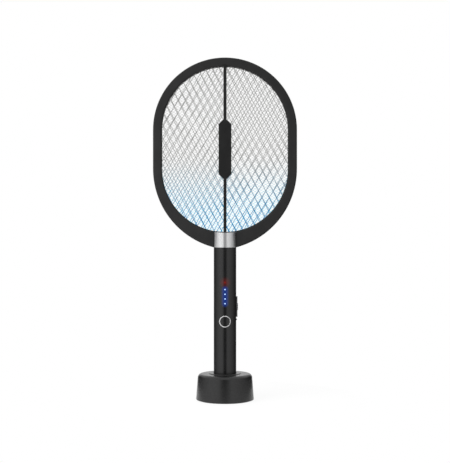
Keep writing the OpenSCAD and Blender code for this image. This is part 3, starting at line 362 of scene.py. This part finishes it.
def buildNet(name, nodeName, lay):
    low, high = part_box(nodeName)
    radius = high.x
    lowC, highC = low.z + radius, high.z - radius
    middleY = (low.y + high.y) / 2
    deselectAll()
    # the rim: a ring drawn out to the opening's outline, under the frame
    shift = (highC - lowC) / 2
    middleZ = (lowC + highC) / 2
    bpy.ops.mesh.primitive_circle_add(
        vertices=net["rimSides"], radius=radius + lay["rimOut"], fill_type="NGON",
        location=(0, middleY, middleZ), rotation=(math.radians(90), 0, 0))
    made = bpy.context.object
    made.name = name
    bpy.ops.object.transform_apply(location=True, rotation=True, scale=True)
    for vertex in made.data.vertices:
        vertex.co.z += shift if vertex.co.z > middleZ else -shift
    bpy.ops.object.mode_set(mode="EDIT")
    bpy.ops.mesh.select_all(action="SELECT")
    bpy.ops.mesh.inset(thickness=net["rimW"] + lay["rimOut"], depth=0)
    bpy.ops.mesh.delete(type="FACE")
    bpy.ops.object.mode_set(mode="OBJECT")
    thick = made.modifiers.new("rim", "SOLIDIFY")
    thick.thickness = net["rimT"]
    thick.offset = 0
    bpy.ops.object.modifier_apply(modifier="rim")
    # one cylinder for each wire of the two slants
    bpy.ops.object.mode_set(mode="EDIT")
    for side, (angle, gap) in zip((1, -1), lay["slants"]):
        aside = (math.cos(math.radians(angle)), math.sin(math.radians(angle)))
        heading = (-aside[1], aside[0])
        y = middleY + side * net["layer"]
        for i in range(-net["stepsEachWay"], net["stepsEachWay"] + 1):
            start = [middle + i * gap * part for middle, part in zip(lay["crossing"], aside)]
            span = chordOf(start, heading, radius - net["rimW"] / 2, lowC, highC)
            if not span:
                continue
            t = (span[0] + span[1]) / 2
            bpy.ops.mesh.primitive_cylinder_add(
                vertices=net["sides"], radius=lay["wireR"], depth=span[1] - span[0],
                location=(start[0] + t * heading[0], y, start[1] + t * heading[1]),
                rotation=(0, math.atan2(heading[0], heading[1]), 0))
    bpy.ops.object.mode_set(mode="OBJECT")
    bpy.ops.object.shade_smooth_by_angle(angle=math.radians(net["smooth"]))
    made.data.materials.clear()
    made.data.materials.append(finishes[lay["finish"]])
    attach(made, "racket")
    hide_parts(nodeName)


buildNet("frontNetWires", "front_net", frontLay)
buildNet("centreNetWires", "centre_net", centreLay)
buildNet("rearNetWires", "rear_net", rearLay)
print("nets made")

# screws with a cross recess: one is modelled for each node, then copied to that node's places
screwSets = {
    "handleScrews": {"node": "handle_screws", "body": "racket", "across": (0, 2),
                     "headT": 0.0014, "shankR": 0.0009},
    "frameScrews": {"node": "frame_screws", "body": "racket", "across": (0, 2),
                    "headT": 0.0011, "shankR": 0.0008},
    "baseScrews": {"node": "base_screws", "body": "base", "across": (0, 1),
                   "headT": 0.0012, "shankR": 0.0009},
}
screwForm = {"sides": 24, "rimShare": 0.3, "rimSteps": 3, "tipL": 0.0012, "tipShare": 0.35, "crossL": 1.25,
             "crossW": 0.3, "crossDepth": 0.6, "turnStep": 37.0, "apart": 0.0045, "flat": 0.9, "smooth": 35}


def selectFaces(made, test):
    bpy.ops.object.mode_set(mode="EDIT")
    bpy.ops.mesh.select_mode(type="FACE")
    bpy.ops.mesh.select_all(action="DESELECT")
    bpy.ops.object.mode_set(mode="OBJECT")
    for face in made.data.polygons:
        face.select = test(face)
    bpy.ops.object.mode_set(mode="EDIT")


# the box of each separate solid in a node, told apart across the screws' axis
def solidBoxes(nodeName, across):
    boxes = []
    for vertex in nodes[nodeName].data.vertices:
        spot = vertex.co
        for low, high in boxes:
            if all(low[k] - screwForm["apart"] < spot[k] < high[k] + screwForm["apart"] for k in across):
                for k in range(3):
                    low[k], high[k] = min(low[k], spot[k]), max(high[k], spot[k])
                break
        else:
            boxes.append((spot.copy(), spot.copy()))
    return boxes


# a screw at the origin, with its head's top at z = 0 and its point below
def buildScrew(name, headR, length, look):
    deselectAll()
    bpy.ops.mesh.primitive_cylinder_add(
        vertices=screwForm["sides"], radius=headR, depth=look["headT"], location=(0, 0, -look["headT"] / 2))
    made = bpy.context.object
    made.name = name
    bpy.ops.object.transform_apply(location=True, rotation=True, scale=True)
    selectFaces(made, lambda face: face.normal.z < -screwForm["flat"])
    bpy.ops.mesh.inset(thickness=headR - look["shankR"], depth=0)
    straight = length - look["headT"] - screwForm["tipL"]
    bpy.ops.mesh.extrude_region_move(TRANSFORM_OT_translate={"value": (0, 0, -straight)})
    bpy.ops.mesh.extrude_region_move(TRANSFORM_OT_translate={"value": (0, 0, -screwForm["tipL"])})
    bpy.ops.transform.resize(value=(screwForm["tipShare"], screwForm["tipShare"], 1))
    selectFaces(made, lambda face: face.normal.z > screwForm["flat"])
    bpy.ops.mesh.bevel(
        offset=look["headT"] * screwForm["rimShare"], segments=screwForm["rimSteps"], affect="EDGES")
    bpy.ops.object.mode_set(mode="OBJECT")
    # the recess, cut by two crossed bars whose upper half is above the head
    barSize = (headR * screwForm["crossL"], headR * screwForm["crossW"],
               look["headT"] * screwForm["crossDepth"] * 2)
    for turn in (0, 90):
        deselectAll()
        bpy.ops.mesh.primitive_cube_add(size=1, rotation=(0, 0, math.radians(turn)))
        bar = bpy.context.object
        bar.scale = barSize
        bpy.ops.object.transform_apply(location=True, rotation=True, scale=True)
        deselectAll()
        bpy.context.view_layer.objects.active = made
        made.select_set(True)
        cut = made.modifiers.new("recess", "BOOLEAN")
        cut.operation = "DIFFERENCE"
        cut.object = bar
        bpy.ops.object.modifier_apply(modifier="recess")
        bpy.data.objects.remove(bar)
    bpy.ops.object.shade_smooth_by_angle(angle=math.radians(screwForm["smooth"]))
    return made


def buildScrews(name, look):
    upright = look["across"] == (0, 1)
    boxes = solidBoxes(look["node"], look["across"])
    low, high = boxes[0]
    length = high.z - low.z if upright else high.y - low.y
    first = buildScrew(name, (high.x - low.x) / 2, length, look)
    copies = [first]
    while len(copies) < len(boxes):
        deselectAll()
        bpy.context.view_layer.objects.active = first
        first.select_set(True)
        bpy.ops.object.duplicate()
        copies.append(bpy.context.object)
    for i, (copy, (low, high)) in enumerate(zip(copies, boxes)):
        turn = math.radians(i * screwForm["turnStep"])
        middle = (low + high) / 2
        copy.location = (middle.x, middle.y, low.z) if upright else (middle.x, high.y, middle.z)
        copy.rotation_euler = (math.pi, 0, turn) if upright else (-math.pi / 2, turn, 0)
    deselectAll()
    for copy in copies:
        copy.select_set(True)
    bpy.context.view_layer.objects.active = first
    bpy.ops.object.join()
    bpy.ops.object.transform_apply(location=True, rotation=True, scale=True)
    first.data.materials.clear()
    first.data.materials.append(finishes["zincPlate"])
    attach(first, look["body"])
    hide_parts(look["node"])


for name, look in screwSets.items():
    buildScrews(name, look)
print("screws made")

# floor and room: white to the eye
# the room's reflections: dark behind the camera, two broad lights at the front with the right one weaker,
# dark cards at the sides, white at the back and above
room = {"floorR": 0.2, "floorSides": 128, "floorColour": (0.8, 0.8, 0.8), "floorGlow": 1.05,
        "floorShare": 0.85, "ambient": 0.35,
        "mirrored": ((0.0, 0.0), (0.04, 0.02), (0.14, 1.0), (0.32, 1.0), (0.48, 0.6), (0.62, 0.16),
                     (0.82, 0.02), (0.93, 1.0)),
        "right": (0.3, 1.0, 0.75), "above": (0.2, 0.65)}


def lightPath(tree):
    return addNode(tree, "ShaderNodeLightPath").outputs


def buildFloor():
    deselectAll()
    bpy.ops.mesh.primitive_circle_add(
        vertices=room["floorSides"], radius=room["floorR"], fill_type="NGON", location=(0, 0, 0))
    floor = bpy.context.object
    floor.name = "studioFloor"
    paint = bpy.data.materials.new("paleFloor")
    paint.use_nodes = True
    tree = paint.node_tree
    tree.nodes.clear()
    path = lightPath(tree)
    seen = calc(tree, "MAXIMUM", path["Is Camera Ray"],
                calc(tree, "MAXIMUM", path["Is Glossy Ray"], path["Is Transmission Ray"]))
    matt = addNode(tree, "ShaderNodeBsdfDiffuse", {"Color": (*room["floorColour"], 1)})
    glow = addNode(tree, "ShaderNodeEmission", {"Color": (1, 1, 1, 1), "Strength": room["floorGlow"]})
    mixed = addNode(tree, "ShaderNodeMixShader", {"Fac": calc(tree, "MULTIPLY", seen, room["floorShare"])})
    tree.links.new(matt.outputs[0], mixed.inputs[1])
    tree.links.new(glow.outputs[0], mixed.inputs[2])
    out = addNode(tree, "ShaderNodeOutputMaterial")
    tree.links.new(mixed.outputs[0], out.inputs["Surface"])
    floor.data.materials.append(paint)


def buildRoom():
    world = bpy.data.worlds.new("studioRoom")
    scene.world = world
    world.use_nodes = True
    tree = world.node_tree
    back = tree.nodes["Background"]
    path = lightPath(tree)
    way = addNode(tree, "ShaderNodeTexCoord").outputs["Generated"]
    part = addNode(tree, "ShaderNodeSeparateXYZ", {"Vector": way}).outputs
    toFront = calc(tree, "MULTIPLY", part["Y"], -1.0)
    turn = calc(tree, "ARCTAN2", calc(tree, "ABSOLUTE", part["X"]), toFront)
    ramp = addNode(tree, "ShaderNodeValToRGB", {"Fac": calc(tree, "DIVIDE", turn, math.pi)})
    steps = ramp.color_ramp.elements
    startSteps = len(steps)
    for i, (place, level) in enumerate(room["mirrored"]):
        step = steps[i] if i < startSteps else steps.new(place)
        step.position = place
        step.color = (level, level, level, 1)
    rightFrom, rightTo, rightLevel = room["right"]
    weaker = spread(tree, part["X"], rightFrom, rightTo, 1.0, rightLevel)
    sides = calc(tree, "MULTIPLY", ramp.outputs["Color"], weaker)
    above = spread(tree, part["Z"], *room["above"], 0.0, 1.0, True)
    mirrored = calc(tree, "MAXIMUM", sides, above)
    shiny = calc(tree, "MAXIMUM", path["Is Glossy Ray"], path["Is Transmission Ray"])
    level = addNode(tree, "ShaderNodeMix", {"Factor": shiny, "A": room["ambient"], "B": mirrored}).outputs[0]
    level = addNode(tree, "ShaderNodeMix", {"Factor": path["Is Camera Ray"], "A": level, "B": 1.0}).outputs[0]
    tree.links.new(level, back.inputs["Strength"])
    back.inputs["Color"].default_value = (1, 1, 1, 1)


lampAim = Vector((0, 0, 0.2))
lamps = {
    "keyLamp": {"place": (-0.45, -0.47, 0.35), "size": 0.5, "energy": 5.0},
    "fillLamp": {"place": (0.8, -1.0, 0.25), "size": 0.9, "energy": 0.8},
    "topLamp": {"place": (0.0, 0.2, 1.5), "size": 1.0, "energy": 8.0},
}


def buildLamps():
    for name, look in lamps.items():
        place = Vector(look["place"])
        aim = (lampAim - place).to_track_quat("-Z", "Y").to_euler()
        bpy.ops.object.light_add(type="AREA", location=place, rotation=aim)
        lamp = bpy.context.object
        lamp.name = name
        lamp.data.size = look["size"]
        lamp.data.energy = look["energy"]
        lamp.visible_glossy = False


buildFloor()
buildRoom()
buildLamps()
print("studio made")
